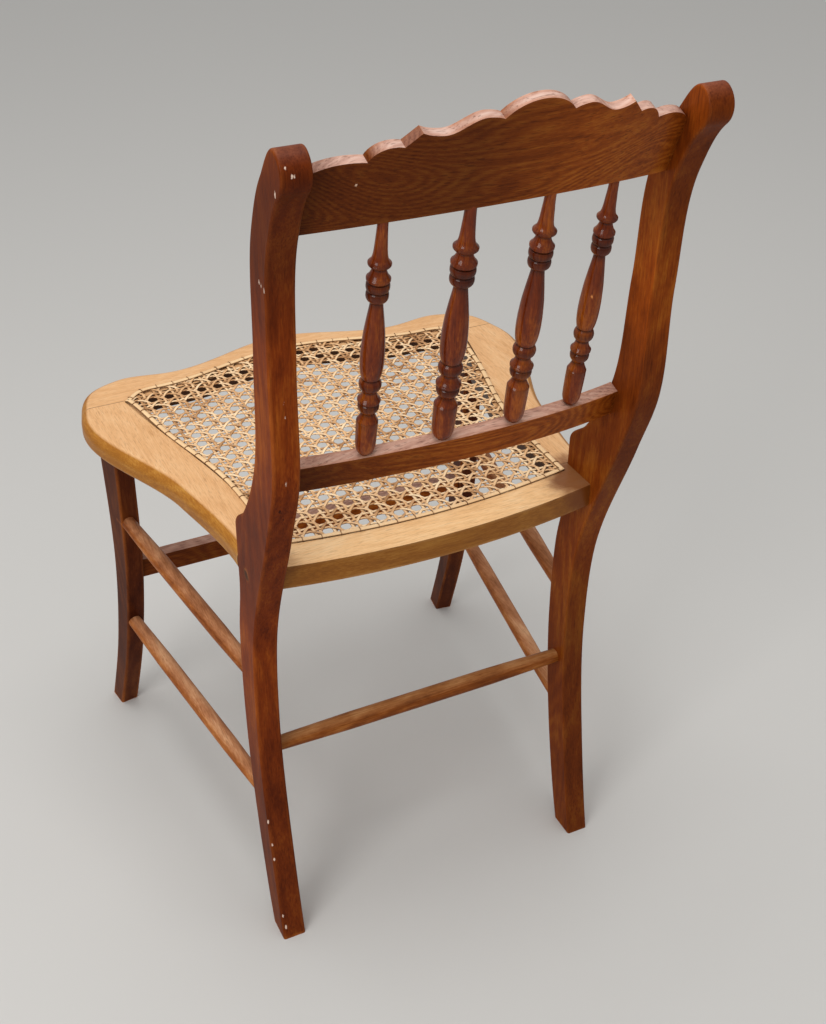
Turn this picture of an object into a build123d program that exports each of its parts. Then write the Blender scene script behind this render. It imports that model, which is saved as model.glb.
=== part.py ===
from build123d import *
import os
from math import cos, radians, sqrt

# Cane seat side chair. Millimetres, +Z up, floor at Z = 0, the sitter faces -Y and has +X on the left.
# Depths (Y) are measured from the flat front of the rear posts, where the seat is notched round them.

# Fits
glue_gap = 0.1          # round a tenon, dowel or plug in its hole
hole_end_gap = 0.5      # left at the bottom of each blind hole
edge_ease = 2.0         # rounding of the sawn edges

# Seat frame
seat_height = 430.0
seat_thickness = 22.0
seat_front_y = -358.0   # middle of the bowed front edge
seat_dip_x = 122.0      # hollow of the front edge on each side of the bow
seat_dip_y = -329.0
seat_cheek_x = 182.0    # front corners swell forward again
seat_cheek_y = -334.0
seat_round_x = 215.0    # rounded front corner
seat_round_y = -318.0
seat_corner_x = 232.5   # widest point, behind the corner
seat_corner_y = -277.0
seat_waist_x = 189.0    # sides draw in towards the posts
seat_waist_y = -108.0
seat_rear_corner_y = 41.0
seat_rear_bow = 15.0
seat_nose_top = 10.0    # rounding of the front and side edges
seat_nose_bottom = 5.0
seat_joint_y = -283.0   # side rails butt the front rail here
seat_dowel_radius = 4.0
seat_dowel_length = 30.0
front_dowel_inset = 8.0
front_dowel_pitch = 31.0
rear_dowel_inset = 12.0

# Cane
cane_front_y = -326.0
cane_dip_x = 118.0
cane_dip_y = -301.5
cane_cheek_x = 165.0
cane_cheek_y = -297.5
cane_corner_x = 187.0
cane_corner_y = -281.0
cane_side_x = 169.0
cane_side_y = -199.0
cane_waist_x = 147.0
cane_waist_y = -103.0
cane_rear_x = 142.0
cane_rear_y = 10.5
cane_rear_bow = 14.0
cane_thickness = 2.4
cane_ledge = 9.0        # margin of cane that lies in the rebate of the frame
cane_pitch_x = 17.6
cane_pitch_y = 17.3
cane_gap = 9.8          # eight-sided gap between the strands, across its flats
binder_width = 4.2
binder_thickness = 1.2
binder_inset = 0.4

# Rear posts, sawn from board
post_gap = 301.0        # clear width between the posts
post_thickness = 22.5
post_height = 816.0
post_foot_front = 35.0
post_foot_depth = 28.0
post_shin_front = 12.0
post_shin_depth = 32.0
post_shin_height = 87.0
post_calf_front = -10.5
post_calf_depth = 33.0
post_calf_height = 250.0
post_thigh_front = -9.0
post_thigh_depth = 36.0
post_thigh_height = 340.0
post_flat_below = 8.0   # straight front above and below the seat
post_flat_above = 26.0
post_hip_rise = 52.0    # the post leans back above the seat
post_hip_front = 23.0
post_hip_depth = 53.0
post_rail_rise = 110.0
post_rail_front = 55.0
post_rail_depth = 41.0
post_shoulder_rise = 215.0
post_shoulder_front = 68.5
post_shoulder_depth = 31.0
post_neck_drop = 68.0
post_neck_front = 80.0
post_neck_depth = 32.5
post_scroll_drop = 25.0
post_scroll_front = 102.0
post_tip_front = 131.0
post_tip_depth = 10.0

# Front legs, sawn from board and toed out to meet the side stretchers squarely
leg_x = 200.5
leg_y = -288.0
leg_toe = 8.0
leg_thickness = 20.0
leg_top_depth = 46.0
leg_knee_height = 225.0
leg_knee_front = -17.0
leg_knee_depth = 30.0
leg_shin_height = 120.0
leg_shin_front = -37.0
leg_shin_depth = 26.5
leg_foot_front = -79.0
leg_foot_depth = 25.0
leg_tenon_radius = 7.0
leg_tenon_length = 14.0
leg_tenon_forward = 7.0

# Lower back rail
rail_height = 27.0
rail_thickness = 11.0
rail_bow = 28.8
rail_arch = 25.0
rail_lean = 17.0
rail_end_y = 59.4
rail_end_rise = 83.7    # bottom of its ends above the seat

# Crest rail
crest_thickness = 8.0
crest_bow = 28.8
crest_arch = 25.7
crest_lean = 21.6
crest_end_y = 98.8
crest_end_rise = 313.9  # bottom of its ends above the seat
crest_end_height = 49.0
crest_middle_height = 112.3
lobe_notch_x = 26.2     # each side of the middle lobe
lobe_notch_height = 99.5
ogee_hump_x = 37.5
ogee_hump_height = 101.7
ogee_dip_x = 65.5
ogee_dip_height = 89.0
ogee_peak_x = 79.6
ogee_peak_height = 91.4
inner_lobe_x = 89.4
inner_lobe_height = 80.0
outer_lobe_x = 111.2
outer_lobe_height = 67.0
lobe_swell = 4.6        # how far the small lobes stand above the line between their ends

# Tenons of both back rails
rail_tenon_length = 12.0
rail_tenon_thickness = 5.0
rail_tenon_shoulder = 5.0

# Turned spindles, heights from the foot
spindle_inner_x = 31.5
spindle_outer_x = 92.0
spindle_tenon_radius = 2.2
spindle_tenon_length = 5.0
spindle_foot_radius = 4.8
spindle_barrel_radius = 8.0
spindle_barrel_base = 9.0
spindle_shoulder = 29.0
spindle_neck = 39.5
spindle_neck_radius = 5.2
spindle_cove_radius = 5.5
spindle_vase_base = 72.5
spindle_vase_base_radius = 6.8
spindle_vase_swell = 86.0
spindle_vase_radius = 8.8
spindle_vase_fall = 106.0
spindle_vase_fall_radius = 7.4
spindle_waist = 138.0
spindle_waist_radius = 4.3
spindle_cap = 176.0
spindle_cap_radius = 6.2
spindle_top_radius = 3.9
lower_beads = [(45.4, 3.8, 7.4), (53.5, 4.2, 8.1), (68.2, 4.0, 8.0)]     # middle, half width, radius
upper_beads = [(144.6, 3.2, 8.4), (151.4, 3.3, 8.9), (158.9, 4.0, 9.2), (171.6, 3.6, 8.6)]
bead_flat = 0.45        # share of a bead's width that is at its full radius

# Stretchers
rod_radius = 8.4
rod_end_radius = 7.0
rod_taper = 0.25        # share of the length over which each end thins
rod_tenon_radius = 4.6
rod_tenon_length = 13.0
side_rod_front = [296.0, 155.0]   # heights at the front leg, upper and lower
side_rod_rear = [280.0, 143.0]    # heights at the rear post
rear_rod_y = 8.0
rear_rod_height = 205.0
bar_height = 22.0
bar_depth = 15.0
bar_base = 217.0
bar_back = 10.0                   # back of the bar behind the middle of the leg's knee
bar_tenon_length = 11.0
bar_tenon_shoulder = 4.0

# Post screws under wooden plugs
screw_y = 21.0
screw_below_seat_top = 13.0
screw_radius = 2.3
screw_head_radius = 4.4
screw_head_length = 3.0
screw_length = 48.0
plug_radius = 5.5
plug_length = 5.0

# Worked out from the above
post_inner = post_gap / 2
post_outer = post_inner + post_thickness
seat_bottom = seat_height - seat_thickness
rail_end_z = seat_height + rail_end_rise
crest_end_z = seat_height + crest_end_rise
cane_base = seat_height - cane_thickness
screw_z = seat_height - screw_below_seat_top
seat_dowel_z = (seat_bottom + cane_base) / 2
bite = 3.0                        # overlap that is trimmed to the true surface of a curved seat
reach = 1000.0                    # longer than the chair, for cutting blocks


def mirrored(shape):
    return mirror(shape, about=Plane.YZ)


def along(start, end):
    start, end = Vector(*start), Vector(*end)
    return Plane(origin=start, z_dir=end - start), (end - start).length


def pin(plane, radius, low, high):
    return plane * Pos(0, 0, (low + high) / 2) * Cylinder(radius, high - low)


def flow(points, first, last):
    # smooth line through the points: cubic pieces that share their direction where they meet
    points = [Vector(*p) for p in points]
    ways = [Vector(*first).normalized()]
    for a, b, c in zip(points, points[1:], points[2:]):
        before, after = b - a, c - b
        way = before.normalized() * after.length + after.normalized() * before.length
        ways.append(way.normalized())
    ways.append(Vector(*last).normalized())
    pieces = []
    for i in range(len(points) - 1):
        a, b = points[i], points[i + 1]
        pull = (b - a).length / 3
        pieces.append(Bezier(a, a + ways[i] * pull, b - ways[i + 1] * pull, b))
    return sum(pieces[1:], pieces[0])


def both_sides(points):
    return points + [(-x, y) for x, y in reversed(points[:-1])]


# Seat frame

def seat_outline():
    half = [
        (post_outer, 0),
        (seat_waist_x, seat_waist_y),
        (seat_corner_x, seat_corner_y),
        (seat_round_x, seat_round_y),
        (seat_cheek_x, seat_cheek_y),
        (seat_dip_x, seat_dip_y),
        (0, seat_front_y),
    ]
    edge = flow(both_sides(half), (0, -1), (0, 1))
    rear = ThreePointArc(
        (-post_inner, seat_rear_corner_y),
        (0, seat_rear_corner_y + seat_rear_bow),
        (post_inner, seat_rear_corner_y),
    )
    left = Polyline((-post_outer, 0), (-post_inner, 0), (-post_inner, seat_rear_corner_y))
    right = Polyline((post_inner, seat_rear_corner_y), (post_inner, 0), (post_outer, 0))
    return make_face(edge + left + rear + right)


def cane_wire(inset):
    half = [
        (cane_corner_x - inset, cane_corner_y + inset),
        (cane_cheek_x - inset / 2, cane_cheek_y + inset),
        (cane_dip_x, cane_dip_y + inset),
        (0, cane_front_y + inset),
    ]
    front = Spline(*both_sides(half))
    side = [
        (cane_rear_x - inset, cane_rear_y - inset),
        (cane_waist_x - inset, cane_waist_y),
        (cane_side_x - inset, cane_side_y),
        (cane_corner_x - inset, cane_corner_y + inset),
    ]
    right = Spline(*side)
    left = Spline(*[(-x, y) for x, y in side])
    rear = ThreePointArc(
        (-side[0][0], side[0][1]), (0, cane_rear_y + cane_rear_bow - inset), side[0]
    )
    return Wire([*front.edges(), *left.edges(), *rear.edges(), *right.edges()])


def cane_layer(inset, low, high):
    return Pos(0, 0, low) * extrude(Face(cane_wire(inset)), amount=high - low, dir=(0, 0, 1))


def seat_frame():
    slab = Pos(0, 0, seat_bottom) * extrude(seat_outline(), amount=seat_thickness)
    for level, radius in ((seat_height, seat_nose_top), (seat_bottom, seat_nose_bottom)):
        rim = [
            e for e in slab.edges()
            if abs(e.center().Z - level) < 0.01 and e.geom_type == GeomType.BSPLINE
        ]
        slab = fillet(rim, radius)
    slab -= cane_layer(cane_ledge, seat_bottom - 1, seat_height + 1)
    slab -= cane_layer(0, cane_base, seat_height + 1)
    return slab


def block(x_low, x_high, y_low, y_high):
    return Pos((x_low + x_high) / 2, (y_low + y_high) / 2, seat_height) * Box(
        x_high - x_low, y_high - y_low, reach
    )


def seat_dowel_pins(gap, end_gap):
    pins = []
    half = seat_dowel_length / 2 + end_gap
    front_x = cane_corner_x - cane_ledge + front_dowel_inset
    places = [
        (front_x, seat_joint_y),
        (front_x + front_dowel_pitch, seat_joint_y),
        (post_inner - rear_dowel_inset, 0),
    ]
    for x, y in places:
        for side in (-1, 1):
            axis = Plane(origin=(side * x, y, seat_dowel_z), z_dir=(0, 1, 0))
            pins.append(pin(axis, seat_dowel_radius + gap, -half, half))
    return pins


# Sawn posts and legs

def long_edges(blank):
    return [
        e for e in blank.edges()
        if abs(e.tangent_at(0.5).X) < 0.01
        and not (e.geom_type == GeomType.LINE and abs(e.tangent_at(0.5).Z) < 0.01)
    ]


def post_blank():
    flat_low = seat_bottom - post_flat_below
    flat_high = seat_height + post_flat_above
    neck = post_height - post_neck_drop
    scroll = post_height - post_scroll_drop
    low_front = flow(
        [
            (post_foot_front, 0),
            (post_shin_front, post_shin_height),
            (post_calf_front, post_calf_height),
            (post_thigh_front, post_thigh_height),
            (0, flat_low),
        ],
        (-1, 3),
        (0, 1),
    )
    flat = Line((0, flat_low), (0, flat_high))
    round_top = post_height - post_tip_depth - 2
    scroll_back = (post_tip_front + post_tip_depth / 2, post_height - post_scroll_drop - 3)
    tip = ThreePointArc(
        (post_tip_front, post_height), (post_tip_front + post_tip_depth, round_top), scroll_back
    )
    high_front = flow(
        [
            (0, flat_high),
            (post_hip_front, seat_height + post_hip_rise),
            (post_rail_front, seat_height + post_rail_rise),
            (post_shoulder_front, seat_height + post_shoulder_rise),
            (post_neck_front, neck),
            (post_scroll_front, scroll),
            (post_tip_front, post_height),
        ],
        (0, 1),
        tip % 0,
    )
    back = flow(
        [
            scroll_back,
            (post_neck_front + post_neck_depth, neck),
            (post_shoulder_front + post_shoulder_depth, seat_height + post_shoulder_rise),
            (post_rail_front + post_rail_depth, seat_height + post_rail_rise),
            (post_hip_front + post_hip_depth, seat_height + post_hip_rise),
            (post_thigh_front + post_thigh_depth, post_thigh_height),
            (post_calf_front + post_calf_depth, post_calf_height),
            (post_shin_front + post_shin_depth, post_shin_height),
            (post_foot_front + post_foot_depth, 0),
        ],
        tip % 1,
        (1, -4),
    )
    sole = Line((post_foot_front + post_foot_depth, 0), (post_foot_front, 0))
    face = Plane.YZ * make_face(low_front + flat + high_front + tip + back + sole)
    blank = Pos(post_inner, 0, 0) * extrude(face, amount=post_thickness)
    return fillet(long_edges(blank), edge_ease)


def leg_blank():
    top = leg_top_depth / 2
    front = flow(
        [
            (-top, seat_bottom),
            (leg_knee_front, leg_knee_height),
            (leg_shin_front, leg_shin_height),
            (leg_foot_front, 0),
        ],
        (1, -20),
        (-1, -2.6),
    )
    back = flow(
        [
            (leg_foot_front + leg_foot_depth, 0),
            (leg_shin_front + leg_shin_depth, leg_shin_height),
            (leg_knee_front + leg_knee_depth, leg_knee_height),
            (top, seat_bottom),
        ],
        (1, 2.6),
        (1, 7),
    )
    sole = Line((leg_foot_front, 0), (leg_foot_front + leg_foot_depth, 0))
    head = Line((top, seat_bottom), (-top, seat_bottom))
    face = Plane.YZ * make_face(front + sole + back + head)
    blank = Pos(-leg_thickness / 2, 0, 0) * extrude(face, amount=leg_thickness)
    return leg_place * fillet(long_edges(blank), edge_ease)


leg_place = Location((leg_x, leg_y, 0), (0, 0, leg_toe))


# Bowed back rails: local X along the chord, Y to the rear, Z up the leaning face

class BowedRail:
    def __init__(self, bow, arch, thickness, lean, end_y, end_z):
        self.bow = bow
        self.arch = arch
        self.thickness = thickness
        self.radius = (post_inner**2 + bow**2) / (2 * bow)
        self.arch_radius = (post_inner**2 + arch**2) / (2 * arch)
        self.place = Location((0, end_y, end_z), (-lean, 0, 0))
        self.front_end = self.depth_at(post_inner, thickness)

    def depth_at(self, x, inset):
        return sqrt((self.radius - inset) ** 2 - x**2) - (self.radius - self.bow)

    def rise_at(self, x):
        return sqrt(self.arch_radius**2 - x**2) - (self.arch_radius - self.arch)

    def arch_line(self, height):
        ends = [(post_inner, height), (-post_inner, height)]
        return ThreePointArc(ends[0], (0, height + self.arch), ends[1])

    def body(self, outline):
        rear = ThreePointArc((-post_inner, 0), (0, self.bow), (post_inner, 0))
        front = ThreePointArc(
            (post_inner, self.front_end),
            (0, self.bow - self.thickness),
            (-post_inner, self.front_end),
        )
        ends = Line((post_inner, 0), (post_inner, self.front_end))
        ends += Line((-post_inner, self.front_end), (-post_inner, 0))
        band = Pos(0, 0, -reach / 2) * extrude(make_face(rear + ends + front), amount=reach)
        panel = extrude(Plane.XZ * outline, amount=reach, both=True)
        self.slab = self.place * panel
        return self.place * (band & panel)

    def tenons(self, height, gap, end_gap):
        middle = self.front_end / 2
        long = 2 * (post_inner + rail_tenon_length + end_gap)
        bar = Pos(0, middle, height / 2) * Box(
            long,
            rail_tenon_thickness + 2 * gap,
            height - 2 * rail_tenon_shoulder + 2 * gap,
        )
        inside = Pos(0, middle, height / 2) * Box(post_gap, reach, reach)
        return self.place * (bar - inside)

    def point(self, x, height):
        at = self.place * Pos(x, self.depth_at(x, self.thickness / 2), height + self.rise_at(x))
        return at.position


lower_rail = BowedRail(rail_bow, rail_arch, rail_thickness, rail_lean, rail_end_y, rail_end_z)
crest_rail = BowedRail(
    crest_bow, crest_arch, crest_thickness, crest_lean, crest_end_y, crest_end_z
)


def rail_outline():
    sides = Line((-post_inner, rail_height), (-post_inner, 0))
    sides += Line((post_inner, 0), (post_inner, rail_height))
    return make_face(lower_rail.arch_line(0) + sides + lower_rail.arch_line(rail_height))


def small_lobe(start, end):
    # leaves the inner notch rising and rounds over down to the outer one
    crown = (start[0] + (end[0] - start[0]) * 0.4, start[1] + (end[1] - start[1]) * 0.4 + lobe_swell)
    return ThreePointArc(start, crown, end)


def crest_outline():
    notch = (lobe_notch_x, lobe_notch_height)
    peak = (ogee_peak_x, ogee_peak_height)
    inner = (inner_lobe_x, inner_lobe_height)
    outer = (outer_lobe_x, outer_lobe_height)
    end = (post_inner, crest_end_height)
    ogee = [notch, (ogee_hump_x, ogee_hump_height), (ogee_dip_x, ogee_dip_height), peak]
    half = flow(ogee, (2, 1), (2, 1))
    half += Line(peak, inner) + small_lobe(inner, outer) + small_lobe(outer, end)
    half += Line(end, (post_inner, 0))
    middle = ThreePointArc(
        notch, (0, crest_middle_height), (-lobe_notch_x, lobe_notch_height)
    )
    return make_face(half + mirrored(half) + middle + crest_rail.arch_line(0))


# Turned pieces

def turned(edges):
    return revolve(Plane.XZ * make_face(edges), axis=Axis.Z)


def spindle_body(length):
    outline = [
        (0, -bite),
        (spindle_foot_radius, -bite),
        (spindle_foot_radius, 0),
        (spindle_barrel_radius * 0.9, spindle_barrel_base * 0.4),
        (spindle_barrel_radius, spindle_barrel_base),
        (spindle_barrel_radius, spindle_shoulder),
        (spindle_neck_radius, spindle_neck),
    ]
    for bead in lower_beads:
        outline += bead_points(bead, spindle_cove_radius)
    vase_base = (spindle_vase_base_radius, spindle_vase_base)
    vase_fall = (spindle_vase_fall_radius, spindle_vase_fall)
    below = Polyline(*outline, vase_base)
    vase = ThreePointArc(vase_base, (spindle_vase_radius, spindle_vase_swell), vase_fall)
    outline = [vase_fall, (spindle_waist_radius, spindle_waist)]
    for bead in upper_beads:
        outline += bead_points(bead, spindle_cove_radius)
    outline += [
        (spindle_cap_radius, spindle_cap),
        (spindle_top_radius, length + bite),
        (0, length + bite),
        (0, -bite),
    ]
    return turned(below + vase + Polyline(*outline))


def bead_points(bead, root):
    middle, half, radius = bead
    return [
        (root, middle - half),
        (radius, middle - half * bead_flat),
        (radius, middle + half * bead_flat),
        (root, middle + half),
    ]


def rod_body(length):
    outline = [
        (0, -bite),
        (rod_end_radius, -bite),
        (rod_radius, length * rod_taper),
        (rod_radius, length * (1 - rod_taper)),
        (rod_end_radius, length + bite),
        (0, length + bite),
    ]
    return turned(Polyline(*outline, close=True))


def joined(body, start, end, tenon_radius, tenon_length, seats):
    # a turned body trimmed to the pieces it stands against, with a round tenon at each end
    plane, length = along(start, end)
    body = plane * body(length)
    for piece in seats:
        body -= piece
    spigots = [
        pin(plane, tenon_radius, -tenon_length, bite),
        pin(plane, tenon_radius, length - bite, length + tenon_length),
    ]
    holes = [
        pin(plane, tenon_radius + glue_gap, -tenon_length - hole_end_gap, bite),
        pin(plane, tenon_radius + glue_gap, length - bite, length + tenon_length + hole_end_gap),
    ]
    return body + spigots, holes


def front_face_y(blank, x, z):
    # depth of the front of a sawn piece at one height
    ray = Pos(x, 0, z) * Box(0.2, reach * 2, 0.2)
    return (blank & ray).bounding_box().min.Y


# Blanks and the holes that go into them

post = post_blank()
leg = leg_blank()
frame = seat_frame()
lower_body = lower_rail.body(rail_outline())
crest_body = crest_rail.body(crest_outline())
post_x = post_inner + post_thickness / 2
parts = {}

# Spindles stand between the two back rails
lower_holes = []
crest_holes = []
spindle_places = [spindle_outer_x, spindle_inner_x, -spindle_inner_x, -spindle_outer_x]
for number, x in enumerate(spindle_places, start=1):
    foot = lower_rail.point(x, rail_height)
    head = crest_rail.point(x, 0)
    spindle, holes = joined(
        spindle_body, foot, head, spindle_tenon_radius, spindle_tenon_length,
        [lower_body, crest_rail.slab],
    )
    parts[f"spindle_{number}"] = spindle
    lower_holes.append(holes[0])
    crest_holes.append(holes[1])

parts["lower_back_rail"] = (
    lower_body + lower_rail.tenons(rail_height, 0, 0) - lower_holes
)
parts["crest_rail"] = (
    crest_body + crest_rail.tenons(crest_end_height, 0, 0) - crest_holes
)
post_cuts = [
    lower_rail.tenons(rail_height, glue_gap, hole_end_gap),
    crest_rail.tenons(crest_end_height, glue_gap, hole_end_gap),
]

# Side stretchers run from the front leg's back to the rear post's front
leg_cuts = []
for name, front_z, rear_z in zip(("upper", "lower"), side_rod_front, side_rod_rear):
    ray = leg_place * Pos(0, 0, front_z) * Box(0.2, reach, 0.2)
    start = (leg & ray).bounding_box()
    start = (start.center().X, start.max.Y, front_z)
    end = (post_x, front_face_y(post, post_x, rear_z), rear_z)
    rod, holes = joined(rod_body, start, end, rod_tenon_radius, rod_tenon_length, [leg, post])
    parts[f"left_{name}_stretcher"] = rod
    parts[f"right_{name}_stretcher"] = mirrored(rod)
    leg_cuts.append(holes[0])
    post_cuts.append(holes[1])

# Rear stretcher
rear_rod, holes = joined(
    rod_body,
    (-post_inner, rear_rod_y, rear_rod_height),
    (post_inner, rear_rod_y, rear_rod_height),
    rod_tenon_radius,
    rod_tenon_length,
    [post, mirrored(post)],
)
parts["rear_stretcher"] = rear_rod
post_cuts.append(holes[1])

# Front stretcher, a flat bar tenoned into the toed legs
bar_y = leg_y + bar_back - bar_depth / 2 + leg_knee_front + leg_knee_depth / 2
bar_z = bar_base + bar_height / 2


def bar(length, shoulder):
    return Pos(0, bar_y, bar_z) * Box(length, bar_depth - shoulder, bar_height - shoulder)


bar_reach = (leg & bar(2 * reach, 0)).bounding_box().max.X
bar_inner = (leg & bar(2 * reach, 2 * bar_tenon_shoulder)).bounding_box().min.X
bar_body = bar(2 * bar_reach, 0) - leg - mirrored(leg)
bar_body = bar_body.solids().sort_by(lambda s: abs(s.center().X))[0]
bar_span = 2 * (bar_inner + bar_tenon_length)
parts["front_stretcher"] = bar_body + bar(bar_span, 2 * bar_tenon_shoulder)
leg_cuts.append(bar(bar_span + 2 * hole_end_gap, 2 * (bar_tenon_shoulder - glue_gap)))

# Front leg tenons into the seat's front rail
leg_tenon_y = leg_y - leg_tenon_forward
leg_axis = Plane(origin=(leg_x, leg_tenon_y, seat_bottom), z_dir=(0, 0, 1))
leg_tenon = pin(leg_axis, leg_tenon_radius, -bite, leg_tenon_length)
leg_socket = pin(
    leg_axis, leg_tenon_radius + glue_gap, -bite, leg_tenon_length + hole_end_gap
)
parts["front_leg_left"] = leg - leg_cuts + leg_tenon
parts["front_leg_right"] = mirrored(parts["front_leg_left"])

# Post screws and their plugs, driven from the outside of each post
screw_axis = Plane(origin=(post_outer, screw_y, screw_z), z_dir=(-1, 0, 0))
head_end = plug_length + screw_head_length
plug = pin(screw_axis, plug_radius, 0, plug_length)
screw = pin(screw_axis, screw_head_radius, plug_length, head_end)
screw += pin(screw_axis, screw_radius, plug_length, plug_length + screw_length)
screw_hole = pin(
    screw_axis, screw_radius + glue_gap, 0, plug_length + screw_length + hole_end_gap
)
plug_hole = pin(screw_axis, plug_radius + glue_gap, -bite, head_end)
parts["screw_plugs"] = Compound(children=[*plug.solids(), *mirrored(plug).solids()])
parts["post_screws"] = Compound(children=[*screw.solids(), *mirrored(screw).solids()])
post_cuts += [screw_hole, plug_hole]
parts["rear_post_left"] = post - post_cuts
parts["rear_post_right"] = mirrored(parts["rear_post_left"])

# Seat frame, four pieces with dowelled butt joints
frame -= [*seat_dowel_pins(glue_gap, hole_end_gap), leg_socket, mirrored(leg_socket)]
frame -= [screw_hole, mirrored(screw_hole)]
parts["seat_front_rail"] = frame & block(-reach, reach, -reach, seat_joint_y)
parts["seat_rear_rail"] = frame & block(-reach, reach, 0, reach)
parts["seat_left_rail"] = frame & block(0, reach, seat_joint_y, 0)
parts["seat_right_rail"] = frame & block(-reach, 0, seat_joint_y, 0)
parts["seat_dowels"] = Compound(
    children=[s for dowel in seat_dowel_pins(0, 0) for s in dowel.solids()]
)

# Cane: one sheet with the eight-sided gaps of the weave, and the strip over its edge


def inside(point, ring):
    crossings = 0
    for a, b in zip(ring, ring[1:] + ring[:1]):
        if (a.Y > point[1]) != (b.Y > point[1]):
            if point[0] < a.X + (point[1] - a.Y) / (b.Y - a.Y) * (b.X - a.X):
                crossings += 1
    return crossings % 2 == 1


def cane_gaps():
    margin = cane_ledge + cane_gap / 2
    limit = cane_wire(margin)
    ring = [limit.position_at(i / 200) for i in range(200)]
    columns = int(cane_corner_x / cane_pitch_x) + 1
    rows = int((cane_rear_y + cane_rear_bow - cane_front_y) / cane_pitch_y) + 1
    gaps = []
    for row in range(rows):
        y = cane_rear_y - cane_pitch_y * (row + 0.5)
        for column in range(-columns, columns):
            x = cane_pitch_x * (column + 0.5)
            if inside((x, y), ring):
                gaps.append((x, y))
    return gaps


gap_radius = cane_gap / 2 / cos(radians(22.5))
gap_wires = [
    (Pos(x, y) * RegularPolygon(gap_radius, 8, rotation=22.5)).wire() for x, y in cane_gaps()
]
net = Face(cane_wire(glue_gap), gap_wires)
parts["cane_panel"] = Pos(0, 0, cane_base) * extrude(net, amount=cane_thickness, dir=(0, 0, 1))
binder_top = seat_height + binder_thickness
binder = cane_layer(binder_inset, seat_height, binder_top)
binder -= cane_layer(binder_inset + binder_width, seat_height - 1, binder_top + 1)
parts["cane_binder"] = binder

# The origin goes to the floor, at the middle of the whole chair's width and depth
low_y = min(shape.bounding_box().min.Y for shape in parts.values())
high_y = max(shape.bounding_box().max.Y for shape in parts.values())
centre = Pos(0, -(low_y + high_y) / 2, 0)

os.makedirs("parts", exist_ok=True)
for name, shape in parts.items():
    export_step(centre * shape, f"parts/{name}.step")
print(f"{len(parts)} nodes, {len(gap_wires)} cane gaps, depth centre {(low_y + high_y) / 2:.3f} mm")
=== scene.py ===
import bpy
import math
from mathutils import Matrix, Vector


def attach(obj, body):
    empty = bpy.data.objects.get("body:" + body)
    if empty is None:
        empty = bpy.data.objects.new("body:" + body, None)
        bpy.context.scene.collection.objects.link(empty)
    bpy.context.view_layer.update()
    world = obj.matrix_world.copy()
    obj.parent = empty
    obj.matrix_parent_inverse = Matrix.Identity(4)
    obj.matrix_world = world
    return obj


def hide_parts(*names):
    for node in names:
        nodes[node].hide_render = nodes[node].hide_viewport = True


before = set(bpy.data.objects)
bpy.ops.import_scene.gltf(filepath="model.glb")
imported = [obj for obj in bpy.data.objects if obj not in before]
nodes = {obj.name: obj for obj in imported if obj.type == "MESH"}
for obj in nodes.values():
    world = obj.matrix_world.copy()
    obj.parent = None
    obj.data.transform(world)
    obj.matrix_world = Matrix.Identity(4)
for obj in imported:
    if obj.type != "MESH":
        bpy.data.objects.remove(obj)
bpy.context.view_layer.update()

scene = bpy.context.scene
print("frame loaded", len(nodes), "nodes")


def linear(hexColour):
    parts = [int(hexColour[i:i + 2], 16) / 255 for i in (1, 3, 5)]
    parts = [c / 12.92 if c <= 0.04045 else ((c + 0.055) / 1.055) ** 2.4 for c in parts]
    return (*parts, 1.0)


def addNode(tree, kind, inputs=None, stops=(), **settings):
    # a node with its settings, its links or plain values, and its colour stops if it has any
    node = tree.nodes.new(kind)
    for key, value in settings.items():
        setattr(node, key, value)
    for key, value in (inputs or {}).items():
        socket = node.inputs[key]
        if isinstance(value, bpy.types.NodeSocket):
            tree.links.new(value, socket)
        else:
            socket.default_value = value
    for extra in stops[2:]:
        node.color_ramp.elements.new(0.5)
    for i, (position, hexColour) in enumerate(stops):
        node.color_ramp.elements[i].position = position
        node.color_ramp.elements[i].color = linear(hexColour)
    return node


def newMaterial(name):
    material = bpy.data.materials.new(name)
    material.use_nodes = True
    tree = material.node_tree
    shader = tree.nodes["Principled BSDF"]
    return material, tree, shader


def keepMesh(obj, name):
    # evaluated modifiers become one plain mesh at the origin
    graph = bpy.context.evaluated_depsgraph_get()
    mesh = bpy.data.meshes.new_from_object(obj.evaluated_get(graph))
    mesh.name = name
    piece = bpy.data.objects.new(name, mesh)
    scene.collection.objects.link(piece)
    bpy.data.objects.remove(obj)
    return piece


# camera, solved from the posts, the seat and the feet in the photograph
photoView = {
    "place": (0.46856, 1.025972, 1.11858),
    "right": (-0.89873, 0.43834, 0.01181),
    "down": (0.2366, 0.50744, -0.82857),
    "ahead": (-0.36919, -0.74186, -0.55977),
    "focalPixels": 1404.7, "imageHeight": 1024, "sensorMm": 36,
}
lens = bpy.data.cameras.new("photoCamera")
lens.sensor_width = photoView["sensorMm"]
lens.lens = photoView["focalPixels"] * lens.sensor_width / photoView["imageHeight"]
camera = bpy.data.objects.new("photoCamera", lens)
axes = Matrix((photoView["right"], [-v for v in photoView["down"]], [-v for v in photoView["ahead"]]))
camera.matrix_world = Matrix.Translation(photoView["place"]) @ axes.transposed().to_4x4()
scene.collection.objects.link(camera)
scene.camera = camera
scene.view_settings.view_transform = "Standard"
print("camera set")


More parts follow.
